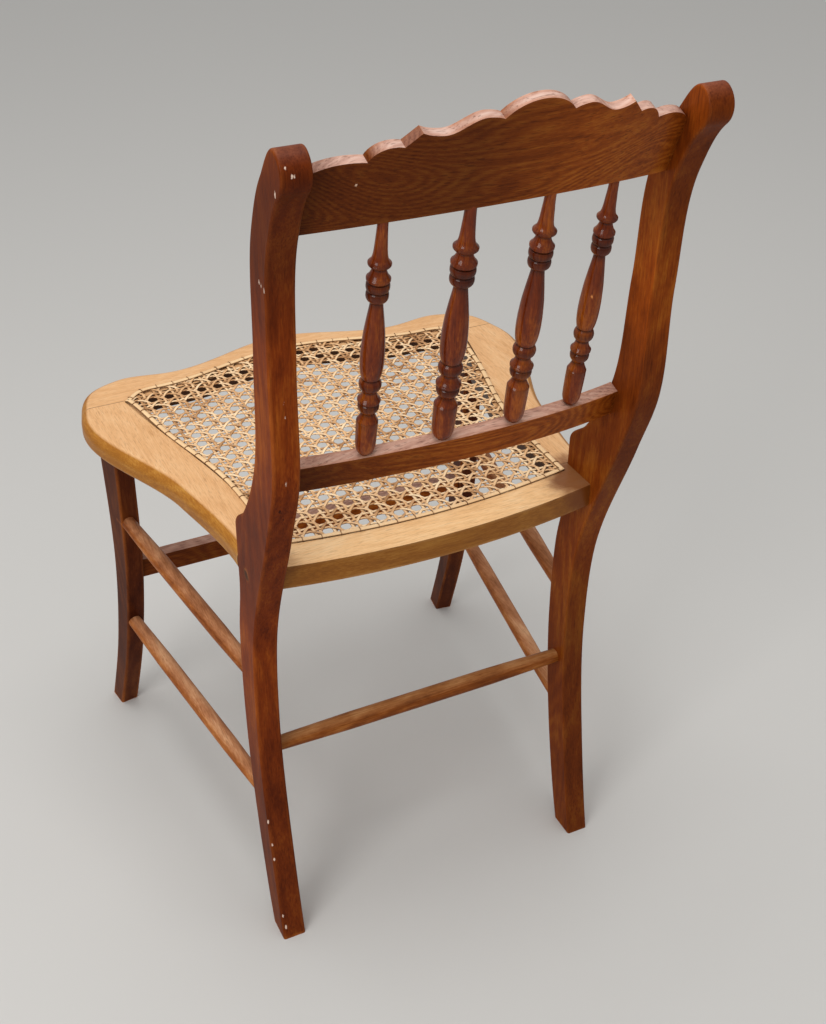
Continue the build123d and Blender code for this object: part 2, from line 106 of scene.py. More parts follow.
# woods: one build for all, each look beside the pieces that wear it
woodDraw = {
    # each noise: drawn out along the grain, also by the look's stretch or not, detail, roughness, distortion
    "noise": {
        "figure": (1.0, True, 4, 0.55, 0.6), "fibre": (0.4, True, 3, 0.7, 0.0),
        "pore": (1.0, True, 1, 0.5, 0.0), "fleck": (0.35, False, 2, 0.6, 0.0),
        "cloud": (1.0, False, 3, 0.55, 0.0), "board": (0.22, False, 1, 0.3, 0.0),
    },
    "toneStops": (0.25, 0.5, 0.75), "poreSoft": 0.12, "fadeAndSheenTo": 0.96, "roughSwing": 0.3,
    "reliefDepth": 0.0003,
    # rubbed arrises: rays, how open they read, and where the rubbing is patchy
    "arrisRays": 6, "arrisFrom": 0.95, "arrisTo": 0.7, "patchCloud": 0.6, "patchFrom": 0.68, "patchTo": 0.95,
    "patchLeast": 0.15,
}


def buildWood(look):
    material, tree, shader = newMaterial(look["name"])
    place = addNode(tree, "ShaderNodeTexCoord").outputs["Object"]
    normal = addNode(tree, "ShaderNodeNewGeometry").outputs["Normal"]
    noise = {}
    for pattern, (draw, byStretch, detail, roughness, distortion) in woodDraw["noise"].items():
        scale = [1.0, 1.0, 1.0]
        scale["xyz".index(look["grain"])] = draw / look["stretch"] if byStretch else draw
        drawn = addNode(tree, "ShaderNodeMapping", {"Vector": place, "Scale": scale})
        noise[pattern] = addNode(tree, "ShaderNodeTexNoise", {
            "Vector": drawn.outputs[0], "Scale": 1000 / look[pattern + "Mm"], "Detail": detail,
            "Roughness": roughness, "Distortion": distortion}).outputs[0]
    # year rings: contour lines of a slow noise give the arches of flat-sawn boards
    turns = addNode(tree, "ShaderNodeMath", {
        0: noise["board"], 1: look["rings"] * 2 * math.pi}, operation="MULTIPLY")
    noise["ring"] = addNode(tree, "ShaderNodeMath", {0: turns.outputs[0]}, operation="SINE").outputs[0]
    layers = ("fibre", "figure", "fleck", "cloud")
    tone = 0.5 - sum(look[layer + "Share"] for layer in layers) / 2
    for layer in ("ring", *layers):
        tone = addNode(tree, "ShaderNodeMath", {
            0: noise[layer], 1: look[layer + "Share"], 2: tone}, operation="MULTIPLY_ADD").outputs[0]
    low, middle, high = woodDraw["toneStops"]
    fresh = addNode(tree, "ShaderNodeValToRGB", {0: tone}, stops=(
        (low, look["dark"]), (middle, look["mid"]), (high, look["light"])))
    palerWithSheen = addNode(tree, "ShaderNodeValToRGB", {0: tone}, stops=(
        (low, look["fadedSheenDark"]), (middle, look["fadedSheen"]), (high, look["fadedSheenLight"])))
    # faces that look up are rubbed and faded paler, and carry a painted sheen
    upward = addNode(tree, "ShaderNodeSeparateXYZ", {0: normal}).outputs["Z"]
    fadedSheen = addNode(tree, "ShaderNodeMapRange", {
        "Value": upward, "From Min": look["fadeAndSheenFrom"], "From Max": woodDraw["fadeAndSheenTo"],
        "To Max": look["fadeAndSheen"]})
    colour = addNode(tree, "ShaderNodeMix", {
        0: fadedSheen.outputs[0], 6: fresh.outputs[0], 7: palerWithSheen.outputs[0]}, data_type="RGBA").outputs[2]
    dots = addNode(tree, "ShaderNodeMapRange", {
        "Value": noise["pore"], "From Min": look["poreEdge"],
        "From Max": look["poreEdge"] + woodDraw["poreSoft"], "To Max": look["poreDepth"]})
    colour = addNode(tree, "ShaderNodeMix", {
        0: dots.outputs[0], 6: colour, 7: linear(look["pore"])}, data_type="RGBA").outputs[2]
    # stain rubs off the arrises: rays sent into the wood leave it soon where an edge is near
    thin = addNode(tree, "ShaderNodeAmbientOcclusion", {"Distance": look["wearMm"] / 1000},
                   samples=woodDraw["arrisRays"], inside=True, only_local=True)
    arris = addNode(tree, "ShaderNodeMapRange", {
        "Value": thin.outputs["AO"], "From Min": woodDraw["arrisFrom"], "From Max": woodDraw["arrisTo"]})
    patchy = addNode(tree, "ShaderNodeMath", {
        0: noise["cloud"], 1: woodDraw["patchCloud"], 2: noise["figure"]}, operation="MULTIPLY_ADD")
    chance = addNode(tree, "ShaderNodeMapRange", {
        "Value": patchy.outputs[0], "From Min": woodDraw["patchFrom"], "From Max": woodDraw["patchTo"],
        "To Min": woodDraw["patchLeast"]})
    rubbed = addNode(tree, "ShaderNodeMath", {
        0: arris.outputs[0], 1: chance.outputs[0]}, operation="MULTIPLY")
    worn = addNode(tree, "ShaderNodeMath", {0: rubbed.outputs[0], 1: look["wear"]}, operation="MULTIPLY")
    colour = addNode(tree, "ShaderNodeMix", {
        0: worn.outputs[0], 6: colour, 7: linear(look["worn"])}, data_type="RGBA").outputs[2]
    tree.links.new(colour, shader.inputs["Base Color"])
    rough = addNode(tree, "ShaderNodeMath", {
        0: noise["fibre"], 1: woodDraw["roughSwing"], 2: look["rough"] - woodDraw["roughSwing"] / 2},
        operation="MULTIPLY_ADD")
    tree.links.new(rough.outputs[0], shader.inputs["Roughness"])
    bump = addNode(tree, "ShaderNodeBump", {
        "Height": noise["fibre"], "Strength": look["relief"], "Distance": woodDraw["reliefDepth"]})
    tree.links.new(bump.outputs[0], shader.inputs["Normal"])
    shader.inputs["Specular IOR Level"].default_value = look["specular"]
    shader.inputs["Coat Weight"].default_value = look["varnish"]
    shader.inputs["Coat Roughness"].default_value = look["varnishRough"]
    return material, tree, shader, place, normal, colour


def dress(names, material):
    for name in names:
        slots = nodes[name].material_slots
        if not slots:
            nodes[name].data.materials.append(material)
        for slot in slots:
            slot.material = material


# birch stained red-brown, sawn and sanded, old satin varnish: fine streaks, dull shine, arrises rubbed
# orange, tops faded paler with a painted sheen
postLook = {
    "name": "redStainedBirch", "grain": "z", "stretch": 14, "figureMm": 16, "figureShare": 0.4,
    "fibreMm": 1.2, "fibreShare": 0.45, "fleckMm": 2.4, "fleckShare": 0.25, "cloudMm": 90, "cloudShare": 0.65,
    "poreMm": 1.1, "poreEdge": 0.58, "poreDepth": 0.35, "boardMm": 70, "rings": 14, "ringShare": 0.05,
    "dark": "#581f07", "mid": "#7d340d", "light": "#a05218", "pore": "#3a1507", "fadeAndSheenFrom": 0.45,
    "fadeAndSheen": 0.55, "fadedSheenDark": "#6a4036", "fadedSheen": "#845545", "fadedSheenLight": "#9c6b58", "wearMm": 3.2,
    "wear": 0.75, "worn": "#b8682c", "rough": 0.46, "specular": 0.02, "varnish": 0.06, "varnishRough": 0.24,
    "relief": 0.12,
    # heights where the post is darker: middle and reach in metres, share
    "darkerTone": "#35170c", "darkerBands": [(0.0, 0.3, 0.4), (0.45, 0.1, 0.25), (0.755, 0.09, 0.55)],
    "rearShadeShare": 0.0, "rearShadeFrom": 0.3, "rearShadeTo": 0.8,
}
# chips in the varnish, painted glints on the scroll, and dark knocks: place and half width in mm
postChipsAndGlints = {
    "tone": "#e0c4b0", "slender": 0.42,
    "spots": [
        # the pale spots up on the scroll, near 0.8 m high, are painted glints; the others are chips
        (173.0, 230.7, 788.0, 0.9), (173.0, 192.0, 712.2, 0.7), (173.0, 195.6, 710.8, 0.6),
        (173.0, 201.1, 709.4, 0.6), (173.0, 206.5, 708.0, 0.5), (164.0, 200.1, 624.0, 0.5),
        (161.9, 199.9, 618.5, 0.6), (161.3, 200.0, 606.8, 0.5), (161.9, 198.7, 569.7, 0.6),
        (162.4, 196.9, 549.5, 1.1), (164.3, 188.2, 510.3, 0.6), (169.0, 239.8, 808.0, 0.5),
        (165.2, 241.4, 802.5, 0.6), (163.6, 241.4, 802.1, 0.4), (172.5, 134.4, 136.3, 0.9),
        (171.5, 140.0, 110.0, 0.7), (171.5, 143.0, 93.4, 0.8), (170.9, 156.7, 27.2, 0.7),
        (169.6, 159.9, 13.8, 1.0),
    ],
}
postKnocks = {
    "tone": "#3a170b", "slender": 0.35,
    "spots": [(165.6, 190.5, 520.4, 0.9), (164.4, 190.0, 517.0, 0.6), (162.0, 186.5, 509.5, 0.6)],
}
crestChips = {"tone": "#d9b79c", "slender": 0.42, "spots": [(116.0, 228.0, 784.6, 0.6)]}
spindleChips = {"tone": "#d98a4a", "slender": 0.5, "spots": [(-88.2, 208.1, 657.4, 1.2)]}
chipEdge = {"raggedMm": 10 / 9, "raggedReach": 0.0016, "outer": 0.001, "inner": 0.0006}


def flake(tree, place, colour, chips):
    # slivers where the varnish has chipped off, and painted glints, ragged and drawn out upwards
    ragged = addNode(tree, "ShaderNodeTexNoise", {
        "Vector": place, "Scale": 1000 / chipEdge["raggedMm"], "Detail": 2})
    total = 0.0
    for x, y, z, radius in chips["spots"]:
        reach = addNode(tree, "ShaderNodeVectorMath", {
            0: place, 1: (x / 1000, y / 1000, z / 1000)}, operation="SUBTRACT")
        squat = addNode(tree, "ShaderNodeVectorMath", {
            0: reach.outputs[0], 1: (1, 1, chips["slender"])}, operation="MULTIPLY")
        away = addNode(tree, "ShaderNodeVectorMath", {0: squat.outputs[0]}, operation="LENGTH")
        shaken = addNode(tree, "ShaderNodeMath", {
            0: ragged.outputs[0], 1: chipEdge["raggedReach"], 2: away.outputs["Value"]},
            operation="MULTIPLY_ADD")
        spot = addNode(tree, "ShaderNodeMapRange", {
            "Value": shaken.outputs[0], "From Min": radius / 1000 + chipEdge["outer"],
            "From Max": radius / 1000 + chipEdge["inner"]})
        total = addNode(tree, "ShaderNodeMath", {
            0: total, 1: spot.outputs[0]}, operation="MAXIMUM").outputs[0]
    return addNode(tree, "ShaderNodeMix", {
        0: total, 6: colour, 7: linear(chips["tone"])}, data_type="RGBA").outputs[2]


def dressPost(names, look, marks):
    material, tree, shader, place, normal, colour = buildWood(look)
    height = addNode(tree, "ShaderNodeSeparateXYZ", {0: place}).outputs["Z"]
    # darker around the given heights
    for middle, reach, share in look["darkerBands"]:
        off = addNode(tree, "ShaderNodeMath", {0: height, 1: middle}, operation="SUBTRACT")
        away = addNode(tree, "ShaderNodeMath", {0: off.outputs[0]}, operation="ABSOLUTE")
        deep = addNode(tree, "ShaderNodeMapRange", {
            "Value": away.outputs[0], "From Min": reach, "From Max": reach / 3, "To Max": share})
        colour = addNode(tree, "ShaderNodeMix", {
            0: deep.outputs[0], 6: colour, 7: linear(look["darkerTone"])}, data_type="RGBA").outputs[2]
    # painted shade: faces that look backwards are mixed towards the darker tone
    backward = addNode(tree, "ShaderNodeSeparateXYZ", {0: normal}).outputs["Y"]
    rear = addNode(tree, "ShaderNodeMapRange", {
        "Value": backward, "From Min": look["rearShadeFrom"], "From Max": look["rearShadeTo"],
        "To Max": look["rearShadeShare"]})
    colour = addNode(tree, "ShaderNodeMix", {
        0: rear.outputs[0], 6: colour, 7: linear(look["darkerTone"])}, data_type="RGBA").outputs[2]
    for chips in marks:
        colour = flake(tree, place, colour, chips)
    tree.links.new(colour, shader.inputs["Base Color"])
    dress(names, material)


dressPost(["rear_post_left"], postLook, [postKnocks, postChipsAndGlints])
# the far post took less stain on its sides and shows more orange there, and its rear faces get painted shade
dressPost(["rear_post_right"], {
    **postLook, "name": "thinStainedBirch", "dark": "#6c2c09", "mid": "#97450f", "light": "#bd6c1f",
    "darkerBands": [(0.1, 0.42, 0.5), (0.5, 0.12, 0.45), (0.745, 0.08, 0.42)], "rearShadeShare": 0.3}, [])
# the front legs stand in shade: a darker copy of the post's wood, painted shade
dressPost(["front_leg_left", "front_leg_right"], {
    **postLook, "name": "shadedLegBirch", "dark": "#371409", "mid": "#52240f", "light": "#6d3919",
    "darkerBands": []}, [])

# plugs over the seat screws: end grain, so the stain soaked in darker and duller
plugLook = {
    **postLook, "name": "endGrainPlug", "grain": "x", "dark": "#3a2013", "mid": "#4f2e1b", "light": "#66402a",
}
dress(["screw_plugs"], buildWood(plugLook)[0])

# the same birch with the grain along the rails, amber, faded on top with a painted sheen, darker towards one
# end
railLook = {
    **postLook, "name": "amberStainedBirch", "grain": "x", "stretch": 9, "figureMm": 9, "figureShare": 0.28,
    "poreDepth": 0.45, "cloudShare": 0.4, "boardMm": 55, "rings": 34, "ringShare": 0.07, "dark": "#5e2708",
    "mid": "#8f4512", "light": "#b06622", "wear": 0.4, "fadeAndSheen": 0.8, "fadedSheenDark": "#a87c6c",
    "fadedSheen": "#cfa592", "fadedSheenLight": "#e2c3b2", "endDarkTone": "#34150b", "endDarkFrom": 0.0, "endDarkTo": 0.12,
    "endDarkShare": 0.66,
    # less of that darkening on faces that look up
    "openFrom": 0.4, "openTo": 0.8, "openShare": 0.25,
}


def dressRail(names, look, marks):
    material, tree, shader, place, normal, colour = buildWood(look)
    # darker towards one end, less so on faces that look up
    sideways = addNode(tree, "ShaderNodeSeparateXYZ", {0: place}).outputs["X"]
    upright = addNode(tree, "ShaderNodeSeparateXYZ", {0: normal}).outputs["Z"]
    endward = addNode(tree, "ShaderNodeMapRange", {
        "Value": sideways, "From Min": look["endDarkFrom"], "From Max": look["endDarkTo"],
        "To Max": look["endDarkShare"]})
    notUpward = addNode(tree, "ShaderNodeMapRange", {
        "Value": upright, "From Min": look["openFrom"], "From Max": look["openTo"], "To Min": 1.0,
        "To Max": look["openShare"]})
    endDarkening = addNode(tree, "ShaderNodeMath", {
        0: endward.outputs[0], 1: notUpward.outputs[0]}, operation="MULTIPLY")
    colour = addNode(tree, "ShaderNodeMix", {
        0: endDarkening.outputs[0], 6: colour, 7: linear(look["endDarkTone"])}, data_type="RGBA").outputs[2]
    for chips in marks:
        colour = flake(tree, place, colour, chips)
    tree.links.new(colour, shader.inputs["Base Color"])
    dress(names, material)


dressRail(["lower_back_rail", "front_stretcher"], railLook, [])
# the crest's scalloped top is faded most, with the strongest painted sheen, and its darkening breaks off
# sooner
dressRail(["crest_rail"], {
    **railLook, "name": "amberStainedBirchCrest", "fadeAndSheen": 0.95, "fadedSheenDark": "#b78d7e", "fadedSheen": "#dcb5a4",
    "fadedSheenLight": "#ecd0c2", "endDarkFrom": -0.045, "endDarkTo": 0.04}, [crestChips])

# turned birch, polished on the lathe: glossier, stain gathered dark in the grooves, painted shade under the
# beads and flanges, a faint painted sheen on their shoulders
spindleLook = {
    **postLook, "name": "turnedStainedBirch", "dark": "#441003", "mid": "#702b07", "light": "#a25413",
    "varnish": 0.4, "varnishRough": 0.08, "rough": 0.38, "specular": 0.04, "fadeAndSheenFrom": 0.5, "fadeAndSheen": 0.15,
    "wear": 0.0, "stainAndShadeTone": "#260c05",
}
spindleWood, tree, shader, place, normal, colour = buildWood(spindleLook)
# stain in the grooves and painted shade under the beads and flanges, stored on the turning
stainAndShade = addNode(tree, "ShaderNodeAttribute", attribute_name="stainAndShade")
colour = addNode(tree, "ShaderNodeMix", {
    0: stainAndShade.outputs["Fac"], 6: colour, 7: linear(spindleLook["stainAndShadeTone"])}, data_type="RGBA").outputs[2]
colour = flake(tree, place, colour, spindleChips)
tree.links.new(colour, shader.inputs["Base Color"])

# seat frame: pale hardwood under clear varnish gone honey, top faded tan with a painted sheen, open pores as
# fine brown dashes
honeyLook = {
    "name": "honeyVarnishedAsh", "grain": "x", "stretch": 14, "figureMm": 12, "figureShare": 0.16,
    "fibreMm": 0.9, "fibreShare": 0.5, "fleckMm": 1.5, "fleckShare": 0.15, "cloudMm": 70, "cloudShare": 0.35,
    "poreMm": 0.7, "poreEdge": 0.56, "poreDepth": 0.26, "boardMm": 60, "rings": 16, "ringShare": 0.03,
    "dark": "#7a4412", "mid": "#a66a22", "light": "#c99342", "pore": "#6e3f18", "fadeAndSheenFrom": 0.86,
    "fadeAndSheen": 0.95, "fadedSheenDark": "#cb935a", "fadedSheen": "#e4b17d", "fadedSheenLight": "#f1ca9b", "wearMm": 3.0,
    "wear": 0.3, "worn": "#dfb37c", "rough": 0.44, "specular": 0.1, "varnish": 0.12, "varnishRough": 0.22,
    "relief": 0.12,
}
# glue lines between the rails, painted shade on the inner faces, stain spilt from the posts (metres)
seatMarks = {
    "seams": (-0.18278, 0.10022), "seamHalf": 0.0005, "seamTone": "#5d3417",
    "middle": (0.0, -0.06, 0.0), "innerShadeTone": "#3d2113", "innerShadeFrom": -0.25, "innerShadeTo": -0.5, "innerShadeShare": 0.9,
    "spillTone": "#6e3811", "spillSoft": 0.026, "spillRagged": 0.024, "smearMm": 100 / 9,
    # place, radius, share
    "spills": [((-0.15, 0.126, 0.43), 0.034, 0.9), ((0.152, 0.13, 0.43), 0.012, 0.5)],
}


def dressSeat(names, look):
    material, tree, shader, place, normal, colour = buildWood(look)
    smear = addNode(tree, "ShaderNodeTexNoise", {
        "Vector": place, "Scale": 1000 / seatMarks["smearMm"], "Detail": 3})
    for spot, radius, share in seatMarks["spills"]:
        away = addNode(tree, "ShaderNodeVectorMath", {0: place, 1: spot}, operation="DISTANCE")
        shaken = addNode(tree, "ShaderNodeMath", {
            0: smear.outputs[0], 1: seatMarks["spillRagged"], 2: away.outputs["Value"]},
            operation="MULTIPLY_ADD")
        spilt = addNode(tree, "ShaderNodeMapRange", {
            "Value": shaken.outputs[0], "From Min": radius + seatMarks["spillSoft"], "From Max": radius,
            "To Max": share}, interpolation_type="SMOOTHSTEP")
        colour = addNode(tree, "ShaderNodeMix", {
            0: spilt.outputs[0], 6: colour, 7: linear(seatMarks["spillTone"])}, data_type="RGBA").outputs[2]
    depth = addNode(tree, "ShaderNodeSeparateXYZ", {0: place}).outputs["Y"]
    for seam in seatMarks["seams"]:
        off = addNode(tree, "ShaderNodeMath", {0: depth, 1: seam}, operation="SUBTRACT")
        gap = addNode(tree, "ShaderNodeMath", {0: off.outputs[0]}, operation="ABSOLUTE")
        line = addNode(tree, "ShaderNodeMapRange", {
            "Value": gap.outputs[0], "From Min": seatMarks["seamHalf"],
            "From Max": seatMarks["seamHalf"] / 3})
        colour = addNode(tree, "ShaderNodeMix", {
            0: line.outputs[0], 6: colour, 7: linear(seatMarks["seamTone"])}, data_type="RGBA").outputs[2]
    # painted shade on the inner faces: those that look towards the middle of the seat
    outward = addNode(tree, "ShaderNodeVectorMath", {0: place, 1: seatMarks["middle"]}, operation="SUBTRACT")
    level = addNode(tree, "ShaderNodeVectorMath", {0: outward.outputs[0], 1: (1, 1, 0)}, operation="MULTIPLY")
    unit = addNode(tree, "ShaderNodeVectorMath", {0: level.outputs[0]}, operation="NORMALIZE")
    looks = addNode(tree, "ShaderNodeVectorMath", {0: unit.outputs[0], 1: normal}, operation="DOT_PRODUCT")
    innerShade = addNode(tree, "ShaderNodeMapRange", {
        "Value": looks.outputs["Value"], "From Min": seatMarks["innerShadeFrom"], "From Max": seatMarks["innerShadeTo"],
        "To Max": seatMarks["innerShadeShare"]})
    colour = addNode(tree, "ShaderNodeMix", {
        0: innerShade.outputs[0], 6: colour, 7: linear(seatMarks["innerShadeTone"])}, data_type="RGBA").outputs[2]
    tree.links.new(colour, shader.inputs["Base Color"])
    dress(names, material)


dressSeat(["seat_front_rail"], honeyLook)
# the rear rail's edge is browner than the others
dressSeat(["seat_rear_rail"], {
    **honeyLook, "name": "honeyVarnishedAshRear", "dark": "#693a10", "mid": "#8f581d", "light": "#b07c36",
    "fadedSheenDark": "#d9a267", "fadedSheen": "#f0c18a", "fadedSheenLight": "#f9d8aa"})
dressSeat(["seat_left_rail", "seat_right_rail", "seat_dowels"], {
    **honeyLook, "name": "honeyVarnishedAshSides", "grain": "y"})

# round stretchers: the stain rubbed through by feet, orange-brown with paler streaks on top, partly painted
# sheen
rodLook = {
    **postLook, "name": "rubbedStainedBirch", "grain": "y", "stretch": 16, "figureMm": 9, "cloudMm": 50,
    "wear": 0.0, "dark": "#662f10", "mid": "#9a5522", "light": "#c27e44", "pore": "#3c1c0b", "fadeAndSheen": 0.6,
    "fadedSheenDark": "#9c6440", "fadedSheen": "#cd946c", "fadedSheenLight": "#e8bf98", "poreDepth": 0.25, "poreMm": 0.9,
    "rough": 0.4, "varnish": 0.15,
}
sideRods = ["left_upper_stretcher", "left_lower_stretcher", "right_upper_stretcher", "right_lower_stretcher"]
dress(sideRods, buildWood(rodLook)[0])
# the rear one is rubbed less, with less painted sheen on top
dress(["rear_stretcher"], buildWood({
    **rodLook, "name": "rubbedStainedBirchAcross", "grain": "x", "dark": "#55270b", "mid": "#834518",
    "light": "#ab6b32", "fadedSheenDark": "#84502a", "fadedSheen": "#b07848", "fadedSheenLight": "#cb9b6c"})[0])

# drawn steel of the hidden screws: plain grey metal with a fine grit in its shine
screwLook = {"tone": "#8c8a86", "gritMm": 10 / 9, "rough": 0.25, "roughSwing": 0.3}
screwSteel, tree, shader = newMaterial("plainScrewSteel")
shader.inputs["Base Color"].default_value = linear(screwLook["tone"])
shader.inputs["Metallic"].default_value = 1.0
grit = addNode(tree, "ShaderNodeTexNoise", {
    "Vector": addNode(tree, "ShaderNodeTexCoord").outputs["Object"], "Scale": 1000 / screwLook["gritMm"]})
scuff = addNode(tree, "ShaderNodeMath", {
    0: grit.outputs[0], 1: screwLook["roughSwing"], 2: screwLook["rough"]}, operation="MULTIPLY_ADD")
tree.links.new(scuff.outputs[0], shader.inputs["Roughness"])
dress(["post_screws"], screwSteel)
print("woods dressed")


# cane: split rattan, bark side up, hard and a little glossy, each strand its own tone, brown painted shade at
# the sides
caneLook = {
    "pale": "#ffe0b4", "straw": "#e3b27e", "brown": "#95602f", "stops": (0.1, 0.45, 0.85), "start": -0.2,
    "blotchMm": 35, "blotchShare": 0.6, "strandShare": 0.6, "fibreMm": 0.7, "fibreShare": 0.2,
    "side": "#653815", "sideShadeFrom": 0.75, "sideShadeTo": 0.25, "sideShadeShare": 0.7, "rough": 0.3, "roughSwing": 0.25,
    "relief": 0.15, "reliefDepth": 0.0002, "specular": 0.3,
}


def buildCane(name, look):
    material, tree, shader = newMaterial(name)
    place = addNode(tree, "ShaderNodeTexCoord").outputs["Object"]
    strand = addNode(tree, "ShaderNodeAttribute", attribute_name="strandTone").outputs["Fac"]
    blotch = addNode(tree, "ShaderNodeTexNoise", {
        "Vector": place, "Scale": 1000 / look["blotchMm"], "Detail": 3, "Roughness": 0.6}).outputs[0]
    fibre = addNode(tree, "ShaderNodeTexNoise", {
        "Vector": place, "Scale": 1000 / look["fibreMm"], "Detail": 2}).outputs[0]
    tone = look["start"]
    for source, share in ((blotch, "blotchShare"), (strand, "strandShare"), (fibre, "fibreShare")):
        tone = addNode(tree, "ShaderNodeMath", {
            0: source, 1: look[share], 2: tone}, operation="MULTIPLY_ADD").outputs[0]
    low, middle, high = look["stops"]
    bark = addNode(tree, "ShaderNodeValToRGB", {0: tone}, stops=(
        (low, look["brown"]), (middle, look["straw"]), (high, look["pale"])))
    # painted shade: the sides of each strand, which turn away from above, are mixed towards brown
    normal = addNode(tree, "ShaderNodeNewGeometry").outputs["Normal"]
    upward = addNode(tree, "ShaderNodeSeparateXYZ", {0: normal}).outputs["Z"]
    sideShade = addNode(tree, "ShaderNodeMapRange", {
        "Value": upward, "From Min": look["sideShadeFrom"], "From Max": look["sideShadeTo"],
        "To Max": look["sideShadeShare"]})
    colour = addNode(tree, "ShaderNodeMix", {
        0: sideShade.outputs[0], 6: bark.outputs[0], 7: linear(look["side"])}, data_type="RGBA").outputs[2]
    tree.links.new(colour, shader.inputs["Base Color"])
    rough = addNode(tree, "ShaderNodeMath", {
        0: fibre, 1: look["roughSwing"], 2: look["rough"]}, operation="MULTIPLY_ADD")
    tree.links.new(rough.outputs[0], shader.inputs["Roughness"])
    bump = addNode(tree, "ShaderNodeBump", {
        "Height": fibre, "Strength": look["relief"], "Distance": look["reliefDepth"]})
    tree.links.new(bump.outputs[0], shader.inputs["Normal"])
    shader.inputs["Specular IOR Level"].default_value = look["specular"]
    return material


caneBark = buildCane("splitCaneBark", caneLook)
binderBark = buildCane("binderCaneBark", {
    **caneLook, "pale": "#f8d5a4", "straw": "#dfb07c", "brown": "#5f3517"})

# outline of the woven panel, half of it, from the front centre round to the rear centre (mm)
caneEdge = {
    "front": [(0, -326), (118, -301.5), (165, -297.5), (187, -281)],
    "side": [(187, -281), (169, -199), (147, -103), (142, 10.5)],
    "rearRise": 14.0, "steps": 14, "depthShift": 100.222, "weaveInset": 1.6,
}


def throughPoints(points, steps):
    # smooth line through the points, mirrored ends keep it level at the middle of the chair
    ext = [(2 * points[0][0] - points[1][0], points[1][1])] + points
    ext.append((2 * points[-1][0] - points[-2][0], 2 * points[-1][1] - points[-2][1]))
    line = []
    for a, b, c, d in zip(ext, ext[1:], ext[2:], ext[3:]):
        for i in range(steps):
            t = i / steps
            spot = []
            for p, q, r, s in zip(a, b, c, d):
                bend = (2 * p - 5 * q + 4 * r - s) * t * t
                twist = (3 * q - p - 3 * r + s) * t ** 3
                spot.append(0.5 * (2 * q + (r - p) * t + bend + twist))
            line.append(tuple(spot))
    return line


def panelLoop(inset):
    front = throughPoints(caneEdge["front"], caneEdge["steps"])
    side = throughPoints(caneEdge["side"], caneEdge["steps"])
    end = caneEdge["side"][-1]
    rear = []
    for i in range(caneEdge["steps"] + 1):
        x = end[0] * (1 - i / caneEdge["steps"])
        rear.append((x, end[1] + caneEdge["rearRise"] * (1 - (x / end[0]) ** 2)))
    half = front + side + rear
    loop = half + [(-x, y) for x, y in reversed(half[1:-1])]
    moved = []
    for i, (x, y) in enumerate(loop):
        ax, ay = loop[i - 2]
        bx, by = loop[(i + 2) % len(loop)]
        dx, dy = bx - ax, by - ay
        size = math.hypot(dx, dy)
        across = x - dy / size * inset
        back = y + dx / size * inset + caneEdge["depthShift"]
        moved.append((across / 1000, back / 1000))
    return moved


def loopCurve(name, inset, height):
    curve = bpy.data.curves.new(name, "CURVE")
    curve.dimensions = "3D"
    spline = curve.splines.new("POLY")
    points = panelLoop(inset)
    spline.points.add(len(points) - 1)
    for point, (x, y) in zip(spline.points, points):
        point.co = (x, y, height, 1)
    spline.use_cyclic_u = True
    obj = bpy.data.objects.new(name, curve)
    scene.collection.objects.link(obj)
    return obj


def addInputs(tree, sizes):
    tree.interface.new_socket("Geometry", in_out="INPUT", socket_type="NodeSocketGeometry")
    tree.interface.new_socket("Geometry", in_out="OUTPUT", socket_type="NodeSocketGeometry")
    for label, value in sizes.items():
        kind = "NodeSocketVector" if isinstance(value, tuple) else "NodeSocketFloat"
        tree.interface.new_socket(label, in_out="INPUT", socket_type=kind).default_value = value
    return addNode(tree, "NodeGroupInput").outputs, addNode(tree, "NodeGroupOutput").inputs


def runTree(obj, tree, values):
    modifier = obj.modifiers.new("make", "NODES")
    modifier.node_group = tree
    for item in tree.interface.items_tree:
        if item.in_out == "INPUT" and item.name in values:
            modifier[item.identifier] = values[item.name]
    return keepMesh(obj, obj.name)


# six-way weave: pairs run front to back and side to side, slanted strands cross on the pairs
weave = {
    "Pitch": (0.0169, 0.0166, 0.0), "Pair Half Gap": 0.0026, "Strand Width": 0.0030,
    "Strand Thickness": 0.0010, "Pair Rise": 0.00045, "Slant Rise": 0.00095, "Height": 0.4293,
}
# how many strands are laid before the panel's edge trims them, each reaching so many pitches both ways
weaveRows = {
    "pairs": 28, "slants": 60, "reach": 14, "stepsPerPitch": 8, "strandSides": 6, "rayFrom": 0.05,
    "rayLength": 0.2, "pairSeeds": (9, 4), "slantSeeds": (7, 2),
}


